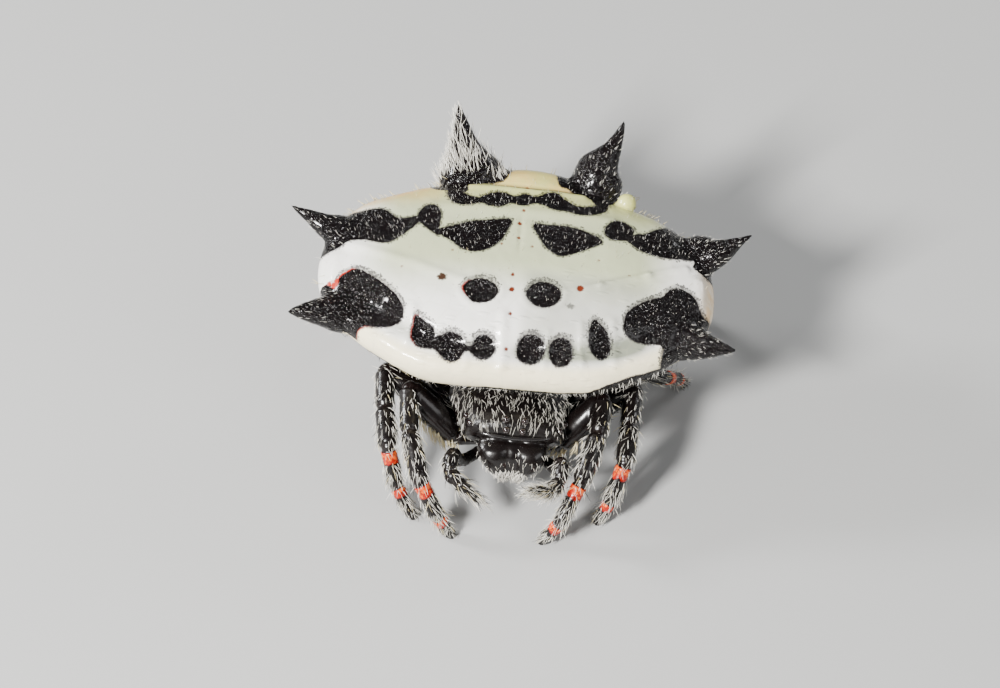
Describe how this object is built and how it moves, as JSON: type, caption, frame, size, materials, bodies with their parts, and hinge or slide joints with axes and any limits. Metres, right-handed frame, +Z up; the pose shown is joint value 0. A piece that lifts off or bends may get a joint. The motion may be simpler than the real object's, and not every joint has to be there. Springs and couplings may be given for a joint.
{
  "type": "spiny orb weaver",
  "caption": "Life-size still model of a female spiny orb weaver: a wide white shield with black pits and spines over a black hairy body, legs drawn in.",
  "frame": {"origin": "centre of the bounding box, on the floor that the eight feet stand on", "axes": "+X to the animal's left, across the shield; the face looks along -Y; +Z up"},
  "size_m": [0.0132, 0.0106, 0.0071],
  "materials": {
    "shield": "glossy enamel white with black pits and black spines",
    "black_cuticle": "glossy black with short pale hairs and orange rings",
    "eye": "polished black"
  },
  "bodies": {
    "root": {"abdomen": "shield", "spinnerets": "black_cuticle", "cephalothorax": "black_cuticle", "chelicera_left": "black_cuticle", "chelicera_right": "black_cuticle", "palp_left": "black_cuticle", "palp_right": "black_cuticle", "leg_left_1": "black_cuticle", "leg_left_2": "black_cuticle", "leg_left_3": "black_cuticle", "leg_left_4": "black_cuticle", "leg_right_1": "black_cuticle", "leg_right_2": "black_cuticle", "leg_right_3": "black_cuticle", "leg_right_4": "black_cuticle", "eye_front_middle_left": "eye", "eye_front_middle_right": "eye", "eye_rear_middle_left": "eye", "eye_rear_middle_right": "eye", "eye_front_side_left": "eye", "eye_front_side_right": "eye", "eye_rear_side_left": "eye", "eye_rear_side_right": "eye"}
  },
  "joints": []
}
